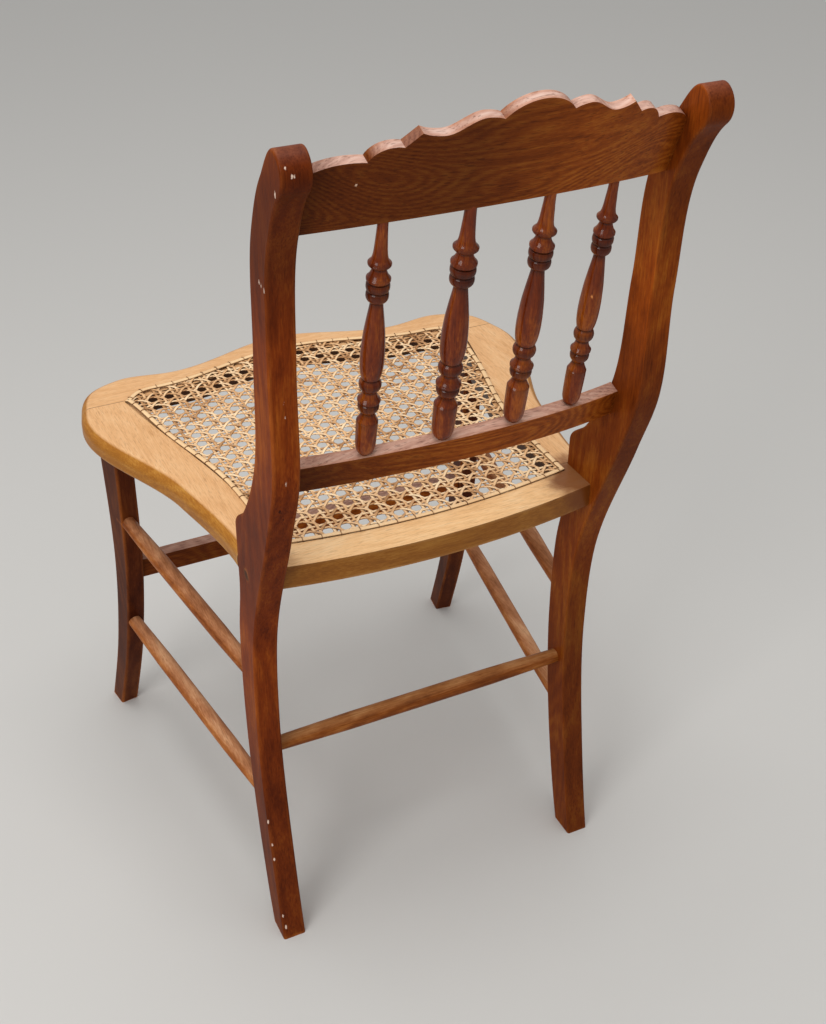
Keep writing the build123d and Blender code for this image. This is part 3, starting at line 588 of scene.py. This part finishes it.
def strandEnd(tree, lines, given, put, seed):
    # trims the lines to the panel's edge, sweeps the flat strand and keeps a tone for each
    spot = addNode(tree, "GeometryNodeInputPosition").outputs[0]
    above = addNode(tree, "ShaderNodeVectorMath", {0: spot, 1: (0, 0, weaveRows["rayFrom"])}, operation="ADD")
    ray = addNode(tree, "GeometryNodeRaycast", {
        "Target Geometry": given["Geometry"], "Source Position": above.outputs[0],
        "Ray Direction": (0.0, 0.0, -1.0), "Ray Length": weaveRows["rayLength"]})
    off = addNode(tree, "FunctionNodeBooleanMath", {0: ray.outputs["Is Hit"]}, operation="NOT")
    kept = addNode(tree, "GeometryNodeDeleteGeometry", {
        "Geometry": lines, "Selection": off.outputs[0]}, domain="POINT")
    chance = addNode(tree, "FunctionNodeRandomValue", {"Seed": seed})
    toned = addNode(tree, "GeometryNodeStoreNamedAttribute", {
        "Geometry": kept.outputs[0], "Name": "strandTone", "Value": chance.outputs[1]},
        data_type="FLOAT", domain="CURVE")
    level = addNode(tree, "GeometryNodeSetCurveNormal", {"Curve": toned.outputs[0]}, mode="Z_UP")
    ring = addNode(tree, "GeometryNodeCurvePrimitiveCircle", {
        "Resolution": weaveRows["strandSides"], "Radius": 0.5})
    flat = addNode(tree, "ShaderNodeCombineXYZ", {
        "X": given["Strand Width"], "Y": given["Strand Thickness"], "Z": 1.0})
    strip = addNode(tree, "GeometryNodeTransform", {"Geometry": ring.outputs[0], "Scale": flat.outputs[0]})
    swept = addNode(tree, "GeometryNodeCurveToMesh", {
        "Curve": level.outputs[0], "Profile Curve": strip.outputs[0], "Fill Caps": True})
    smooth = addNode(tree, "GeometryNodeSetShadeSmooth", {"Geometry": swept.outputs[0]})
    real = addNode(tree, "GeometryNodeRealizeInstances", {"Geometry": smooth.outputs[0]})
    done = addNode(tree, "GeometryNodeSetMaterial", {"Geometry": real.outputs[0], "Material": caneBark})
    tree.links.new(done.outputs[0], put["Geometry"])


def strandLines(tree, starts, along):
    # one straight line through each start, cut into short steps
    reach = weaveRows["reach"]
    back = addNode(tree, "ShaderNodeVectorMath", {0: along, "Scale": -reach}, operation="SCALE")
    ahead = addNode(tree, "ShaderNodeVectorMath", {0: along, "Scale": reach}, operation="SCALE")
    line = addNode(tree, "GeometryNodeCurvePrimitiveLine", {
        "Start": back.outputs[0], "End": ahead.outputs[0]})
    fine = addNode(tree, "GeometryNodeResampleCurve", {
        "Curve": line.outputs[0], "Count": 2 * reach * weaveRows["stepsPerPitch"] + 1})
    laid = addNode(tree, "GeometryNodeInstanceOnPoints", {"Points": starts, "Instance": fine.outputs[0]})
    return addNode(tree, "GeometryNodeRealizeInstances", {"Geometry": laid.outputs[0]}).outputs[0]


def pairTree(frontToBack):
    tree = bpy.data.node_groups.new("canePairs", "GeometryNodeTree")
    given, put = addInputs(tree, weave)
    pitch = addNode(tree, "ShaderNodeSeparateXYZ", {0: given["Pitch"]}).outputs
    halfGap = given["Pair Half Gap"]
    run, step = ("Y", "X") if frontToBack else ("X", "Y")
    row = addNode(tree, "GeometryNodeMeshLine", {"Count": 2 * weaveRows["pairs"], "Offset": (0.0, 0.0, 0.0)})
    index = addNode(tree, "GeometryNodeInputIndex").outputs[0]
    pair = addNode(tree, "ShaderNodeMath", {0: index, 1: 2.0}, operation="DIVIDE")
    whole = addNode(tree, "ShaderNodeMath", {0: pair.outputs[0]}, operation="FLOOR")
    odd = addNode(tree, "ShaderNodeMath", {0: index, 1: 2.0}, operation="MODULO")
    side = addNode(tree, "ShaderNodeMath", {0: odd.outputs[0], 1: 2.0, 2: -1.0}, operation="MULTIPLY_ADD")
    aside = addNode(tree, "ShaderNodeMath", {0: side.outputs[0], 1: halfGap}, operation="MULTIPLY")
    centred = addNode(tree, "ShaderNodeMath", {
        0: whole.outputs[0], 1: -weaveRows["pairs"] / 2}, operation="ADD")
    across = addNode(tree, "ShaderNodeMath", {
        0: centred.outputs[0], 1: pitch[step], 2: aside.outputs[0]}, operation="MULTIPLY_ADD")
    spread = addNode(tree, "ShaderNodeCombineXYZ", {step: across.outputs[0]})
    starts = addNode(tree, "GeometryNodeSetPosition", {
        "Geometry": row.outputs[0], "Position": spread.outputs[0]})
    direction = addNode(tree, "ShaderNodeCombineXYZ", {run: pitch[run]})
    lines = strandLines(tree, starts.outputs[0], direction.outputs[0])
    # over and under at each crossing of two pairs, level between them
    here = addNode(tree, "GeometryNodeInputPosition").outputs[0]
    spot = addNode(tree, "ShaderNodeSeparateXYZ", {0: here}).outputs
    far = addNode(tree, "ShaderNodeMath", {0: spot[run], 1: pitch[run]}, operation="DIVIDE")
    near = addNode(tree, "ShaderNodeMath", {0: far.outputs[0]}, operation="ROUND")
    rest = addNode(tree, "ShaderNodeMath", {0: far.outputs[0], 1: near.outputs[0]}, operation="SUBTRACT")
    away = addNode(tree, "ShaderNodeMath", {0: rest.outputs[0], 1: pitch[run]}, operation="MULTIPLY")
    share = addNode(tree, "ShaderNodeMath", {0: away.outputs[0], 1: halfGap}, operation="DIVIDE")
    turn = addNode(tree, "ShaderNodeMath", {0: share.outputs[0], 1: math.pi / 2}, operation="MULTIPLY")
    capped = addNode(tree, "ShaderNodeClamp", {"Value": turn.outputs[0], "Min": -math.pi, "Max": math.pi})
    swing = addNode(tree, "ShaderNodeMath", {0: capped.outputs[0]}, operation="SINE")
    over = addNode(tree, "ShaderNodeMath", {0: spot[step], 1: pitch[step]}, operation="DIVIDE")
    overNear = addNode(tree, "ShaderNodeMath", {0: over.outputs[0]}, operation="ROUND")
    overRest = addNode(tree, "ShaderNodeMath", {
        0: over.outputs[0], 1: overNear.outputs[0]}, operation="SUBTRACT")
    sign = addNode(tree, "ShaderNodeMath", {0: overRest.outputs[0]}, operation="SIGN")
    signed = addNode(tree, "ShaderNodeMath", {0: swing.outputs[0], 1: sign.outputs[0]}, operation="MULTIPLY")
    rise = addNode(tree, "ShaderNodeMath", {
        0: signed.outputs[0], 1: given["Pair Rise"]}, operation="MULTIPLY")
    flip = addNode(tree, "ShaderNodeMath", {
        0: rise.outputs[0], 1: 1.0 if frontToBack else -1.0, 2: given["Height"]}, operation="MULTIPLY_ADD")
    up = addNode(tree, "ShaderNodeCombineXYZ", {"Z": flip.outputs[0]})
    lifted = addNode(tree, "GeometryNodeSetPosition", {"Geometry": lines, "Offset": up.outputs[0]})
    strandEnd(tree, lifted.outputs[0], given, put, weaveRows["pairSeeds"][frontToBack])
    return tree


def slantTree(rising):
    tree = bpy.data.node_groups.new("caneSlants", "GeometryNodeTree")
    given, put = addInputs(tree, weave)
    mirror = addNode(tree, "ShaderNodeVectorMath", {
        0: given["Pitch"], 1: (0.5, -0.5, 0.0)}, operation="MULTIPLY")
    same = addNode(tree, "ShaderNodeVectorMath", {
        0: given["Pitch"], 1: (0.5, 0.5, 0.0)}, operation="MULTIPLY")
    step, run = (mirror, same) if rising else (same, mirror)
    row = addNode(tree, "GeometryNodeMeshLine", {"Count": weaveRows["slants"], "Offset": (0.0, 0.0, 0.0)})
    index = addNode(tree, "GeometryNodeInputIndex").outputs[0]
    centred = addNode(tree, "ShaderNodeMath", {0: index, 1: (1 - weaveRows["slants"]) / 2}, operation="ADD")
    spread = addNode(tree, "ShaderNodeVectorMath", {
        0: step.outputs[0], "Scale": centred.outputs[0]}, operation="SCALE")
    starts = addNode(tree, "GeometryNodeSetPosition", {
        "Geometry": row.outputs[0], "Position": spread.outputs[0]})
    double = addNode(tree, "ShaderNodeVectorMath", {0: run.outputs[0], "Scale": 2.0}, operation="SCALE")
    lines = strandLines(tree, starts.outputs[0], double.outputs[0])
    # a wave along the strand, over one set of pairs and under the other
    pitch = addNode(tree, "ShaderNodeSeparateXYZ", {0: given["Pitch"]}).outputs
    here = addNode(tree, "GeometryNodeInputPosition").outputs[0]
    spot = addNode(tree, "ShaderNodeSeparateXYZ", {0: here}).outputs
    far = addNode(tree, "ShaderNodeMath", {0: spot["Y"], 1: pitch["Y"]}, operation="DIVIDE")
    turn = addNode(tree, "ShaderNodeMath", {0: far.outputs[0], 1: 2 * math.pi}, operation="MULTIPLY")
    swing = addNode(tree, "ShaderNodeMath", {0: turn.outputs[0]}, operation="COSINE")
    rise = addNode(tree, "ShaderNodeMath", {
        0: swing.outputs[0], 1: given["Slant Rise"]}, operation="MULTIPLY")
    flip = addNode(tree, "ShaderNodeMath", {
        0: rise.outputs[0], 1: 1.0 if rising else -1.0, 2: given["Height"]}, operation="MULTIPLY_ADD")
    up = addNode(tree, "ShaderNodeCombineXYZ", {"Z": flip.outputs[0]})
    lifted = addNode(tree, "GeometryNodeSetPosition", {"Geometry": lines, "Offset": up.outputs[0]})
    strandEnd(tree, lifted.outputs[0], given, put, weaveRows["slantSeeds"][rising])
    return tree


def panelPatch(name):
    # flat face inside the panel's edge, at the height of the weave
    points = panelLoop(caneEdge["weaveInset"])
    mesh = bpy.data.meshes.new(name)
    mesh.from_pydata([(x, y, weave["Height"]) for x, y in points], [], [list(range(len(points)))])
    obj = bpy.data.objects.new(name, mesh)
    scene.collection.objects.link(obj)
    return obj


strands = [
    runTree(panelPatch("caneFrontToBack"), pairTree(True), weave),
    runTree(panelPatch("caneSideToSide"), pairTree(False), weave),
    runTree(panelPatch("caneSlantLeft"), slantTree(True), weave),
    runTree(panelPatch("caneSlantRight"), slantTree(False), weave),
]
for piece in strands:
    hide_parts("cane_panel")
    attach(piece, "root")
    print(piece.name, len(piece.data.polygons), "faces")


# binder: one wide strand laid over the holes and tied down at each of them
binder = {
    "Strip Width": 0.0048, "Strip Thickness": 0.0022, "Hole Pitch": 0.0172, "Tie Width": 0.0013,
    "Tie Thickness": 0.0007, "Tie Radius": 0.0028, "Tie Height": 0.0014,
}
binderLay = {
    "insetMm": 2.5, "height": 0.4309, "stripSides": 10, "tieSides": 6, "tieBends": 9, "tieTone": 0.0,
    "stripTone": 0.8,
}


def binderTree():
    tree = bpy.data.node_groups.new("caneBinder", "GeometryNodeTree")
    given, put = addInputs(tree, binder)
    level = addNode(tree, "GeometryNodeSetCurveNormal", {"Curve": given["Geometry"]}, mode="Z_UP")
    ring = addNode(tree, "GeometryNodeCurvePrimitiveCircle", {
        "Resolution": binderLay["stripSides"], "Radius": 0.5})
    flat = addNode(tree, "ShaderNodeCombineXYZ", {
        "X": given["Strip Width"], "Y": given["Strip Thickness"], "Z": 1.0})
    strip = addNode(tree, "GeometryNodeTransform", {"Geometry": ring.outputs[0], "Scale": flat.outputs[0]})
    band = addNode(tree, "GeometryNodeCurveToMesh", {
        "Curve": level.outputs[0], "Profile Curve": strip.outputs[0]})
    spots = addNode(tree, "GeometryNodeCurveToPoints", {
        "Curve": given["Geometry"], "Length": given["Hole Pitch"]}, mode="LENGTH")
    arch = addNode(tree, "GeometryNodeCurveArc", {
        "Resolution": binderLay["tieBends"], "Radius": 1.0, "Start Angle": 0.0, "Sweep Angle": math.pi})
    wide = addNode(tree, "ShaderNodeCombineXYZ", {
        "X": given["Tie Radius"], "Y": given["Tie Height"], "Z": 1.0})
    bowed = addNode(tree, "GeometryNodeTransform", {"Geometry": arch.outputs[0], "Scale": wide.outputs[0]})
    stand = addNode(tree, "GeometryNodeTransform", {
        "Geometry": bowed.outputs[0], "Rotation": (math.pi / 2, 0.0, 0.0)})
    tieRing = addNode(tree, "GeometryNodeCurvePrimitiveCircle", {
        "Resolution": binderLay["tieSides"], "Radius": 0.5})
    tieFlat = addNode(tree, "ShaderNodeCombineXYZ", {
        "X": given["Tie Thickness"], "Y": given["Tie Width"], "Z": 1.0})
    tieStrip = addNode(tree, "GeometryNodeTransform", {
        "Geometry": tieRing.outputs[0], "Scale": tieFlat.outputs[0]})
    tie = addNode(tree, "GeometryNodeCurveToMesh", {
        "Curve": stand.outputs[0], "Profile Curve": tieStrip.outputs[0]})
    turned = addNode(tree, "FunctionNodeAlignEulerToVector", {"Vector": spots.outputs["Tangent"]}, axis="Y")
    ties = addNode(tree, "GeometryNodeInstanceOnPoints", {
        "Points": spots.outputs[0], "Instance": tie.outputs[0], "Rotation": turned.outputs[0]})
    both = addNode(tree, "GeometryNodeJoinGeometry")
    for source, tone in ((ties, "tieTone"), (band, "stripTone")):
        loose = addNode(tree, "GeometryNodeRealizeInstances", {"Geometry": source.outputs[0]})
        toned = addNode(tree, "GeometryNodeStoreNamedAttribute", {
            "Geometry": loose.outputs[0], "Name": "strandTone", "Value": binderLay[tone]},
            data_type="FLOAT", domain="POINT")
        tree.links.new(toned.outputs[0], both.inputs[0])
    real = addNode(tree, "GeometryNodeRealizeInstances", {"Geometry": both.outputs[0]})
    smooth = addNode(tree, "GeometryNodeSetShadeSmooth", {"Geometry": real.outputs[0]})
    done = addNode(tree, "GeometryNodeSetMaterial", {"Geometry": smooth.outputs[0], "Material": binderBark})
    tree.links.new(done.outputs[0], put["Geometry"])
    return tree


binderLoop = loopCurve("caneBinder", binderLay["insetMm"], binderLay["height"])
edging = runTree(binderLoop, binderTree(), binder)
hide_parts("cane_binder")
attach(edging, "root")
print("binder", len(edging.data.polygons), "faces")


# turned spindles: fine beads, coves and grooves in place of the plainer CAD turning (mm from the foot)
spindle = {
    "around": 32, "crispAngle": 28,
    "line": [
        (-2, 3.8), (0, 3.8), (0.7, 4.8), (2, 6.1), (4.2, 7.2), (7.5, 8.1), (12, 8.4), (20, 8.6),
        (27, 8.75), (31.6, 8.75), (32.1, 8.45), (33, 7.9), (34.6, 7.1), (36.6, 6.2), (38.4, 5.5),
        (39.4, 5.2), (40, 5.7), (41.2, 6.7), (42.4, 7.6), (43.6, 8.2), (45, 8.5), (46.4, 8.55),
        (47.6, 8.3), (48.5, 7.7), (49, 7.1), (49.4, 7.6), (49.9, 8.6), (50.5, 9.1), (52, 9.2),
        (52.6, 8.7), (53.4, 7.9), (54.6, 7.1), (56.2, 6.4), (58.2, 5.9), (59.6, 5.6), (60.2, 5.5),
        (60.8, 6.2), (61.6, 7.2), (62.6, 8.0), (64, 8.6), (65.6, 8.9), (67.2, 8.9), (68.6, 8.5),
        (69.8, 7.9), (70.8, 7.3), (71.6, 6.9), (72, 7.2), (73, 7.6), (75, 8.1), (78, 8.7), (82, 9.1),
        (86, 9.35), (91, 9.4), (97, 9.3), (107, 8.7), (113, 8.2), (124, 6.8), (129, 6.1), (134, 5.4),
        (138, 4.95), (138.8, 4.9), (139.3, 5.6), (140.1, 6.8), (141, 7.7), (142.2, 8.35), (143.6, 8.65),
        (145.2, 8.65), (146.6, 8.4), (147.5, 7.9), (148, 7.3), (148.5, 7.8), (149.3, 8.5),
        (150.6, 8.95), (152.2, 9.05), (153.8, 8.9), (154.9, 8.4), (155.5, 7.6), (156, 7.9),
        (156.5, 8.7), (157.1, 9.15), (158.7, 9.2), (159.3, 8.7), (160.2, 7.9), (161.6, 7.0),
        (163.4, 6.2), (165.2, 5.6), (166.4, 5.4), (167.2, 5.3), (167.6, 6.2), (168.2, 7.4), (169, 8.3),
        (169.8, 8.85), (170.9, 8.9), (171.5, 8.4), (172.3, 7.5), (173.4, 6.7), (175.2, 6.0),
        (178, 5.45), (182, 5.05), (187.3, 4.7), (195, 4.3), (200, 4.1), (207.5, 3.95),
    ],
    # where the stain has gathered, and the painted shade under the beads and flanges: height, half width,
    # share
    "dark": [
        (0.5, 2.0, 0.6), (32, 0.7, 0.4), (39.4, 1.4, 0.7), (49, 0.8, 0.97), (47.5, 5.5, 0.6),
        (60.2, 1.1, 0.85), (66, 4.0, 0.5), (71.8, 1.1, 0.85), (138.8, 1.3, 0.8), (148, 0.8, 0.97),
        (148.5, 8.5, 0.6), (155.5, 0.8, 0.97), (167.3, 1.3, 0.85), (170.3, 2.2, 0.45),
    ],
    # turned by hand, so no two are alike: foot, head, girth, lift of the beads
    "liftFrom": 30, "liftTo": 190,
    "ends": {
        "spindle_1": ((92.0, 184.22, 550.95), (92.0, 218.19, 753.81), 0.97, 0.6),
        "spindle_2": ((31.5, 195.61, 555.96), (31.5, 229.99, 758.1), 1.07, 1.5),
        "spindle_3": ((-31.5, 195.61, 555.96), (-31.5, 229.99, 758.1), 1.02, 3.0),
        "spindle_4": ((-92.0, 184.22, 550.95), (-92.0, 218.19, 753.81), 0.91, 3.4),
    },
}


def turnSpindle(name, foot, head, girth, lift):
    foot, head = Vector(foot) / 1000, Vector(head) / 1000
    turn = (head - foot).to_track_quat("Z", "Y").to_matrix()
    verts, faces, stainAndShadeShares = [], [], []
    count, rings = spindle["around"], spindle["line"]
    for height, radius in rings:
        dark = max(share * math.exp(-((height - spot) / half) ** 2) for spot, half, share in spindle["dark"])
        wide = radius * girth
        raised = height + lift if spindle["liftFrom"] < height < spindle["liftTo"] else height
        for i in range(count):
            angle = 2 * math.pi * i / count
            spot = Vector((wide * math.cos(angle), wide * math.sin(angle), raised)) / 1000
            verts.append(foot + turn @ spot)
            stainAndShadeShares.append(dark)
    for row in range(len(rings) - 1):
        for i in range(count):
            j = (i + 1) % count
            faces.append((row * count + i, row * count + j, (row + 1) * count + j, (row + 1) * count + i))
    faces.append(list(range(count - 1, -1, -1)))
    faces.append(list(range((len(rings) - 1) * count, len(rings) * count)))
    mesh = bpy.data.meshes.new(name)
    mesh.from_pydata(verts, [], faces)
    mesh.materials.append(spindleWood)
    mesh.attributes.new("stainAndShade", "FLOAT", "POINT").data.foreach_set("value", stainAndShadeShares)
    for polygon in mesh.polygons:
        polygon.use_smooth = True
    mesh.set_sharp_from_angle(angle=math.radians(spindle["crispAngle"]))
    piece = bpy.data.objects.new(name, mesh)
    scene.collection.objects.link(piece)
    return piece


for node, shape in spindle["ends"].items():
    piece = turnSpindle("turned_" + node, *shape)
    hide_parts(node)
    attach(piece, "root")
print("spindles turned")


# plain pale floor, soft light from a wide sky, one lamp overhead and one behind the camera's left
studio = {
    "floor": "#cdcbc7", "floorHalf": 40, "floorRough": 0.9, "sky": "#ffffff", "skyStrength": 0.54,
    "aim": (0, 0, 0.45),
    # place, size, watts
    "lamps": {"skyLamp": ((0.2, 0.1, 2.8), 1.5, 27.0), "sideLamp": ((2.0, 1.3, 1.8), 1.2, 26.0)},
}
floorMesh = bpy.data.meshes.new("paleFloor")
side = studio["floorHalf"]
corners = [(-side, -side, 0), (side, -side, 0), (side, side, 0), (-side, side, 0)]
floorMesh.from_pydata(corners, [], [(0, 1, 2, 3)])
floor = bpy.data.objects.new("paleFloor", floorMesh)
scene.collection.objects.link(floor)
paper, tree, shader = newMaterial("palePaperFloor")
shader.inputs["Base Color"].default_value = linear(studio["floor"])
shader.inputs["Roughness"].default_value = studio["floorRough"]
floorMesh.materials.append(paper)
world = bpy.data.worlds.new("softSky")
world.use_nodes = True
world.node_tree.nodes["Background"].inputs[0].default_value = linear(studio["sky"])
world.node_tree.nodes["Background"].inputs[1].default_value = studio["skyStrength"]
scene.world = world
for name, (spot, size, watts) in studio["lamps"].items():
    lamp = bpy.data.lights.new(name, "AREA")
    lamp.energy = watts
    lamp.size = size
    lampObject = bpy.data.objects.new(name, lamp)
    lampObject.location = spot
    towards = Vector(studio["aim"]) - lampObject.location
    lampObject.rotation_euler = towards.to_track_quat("-Z", "Y").to_euler()
    scene.collection.objects.link(lampObject)
print("stage lit")
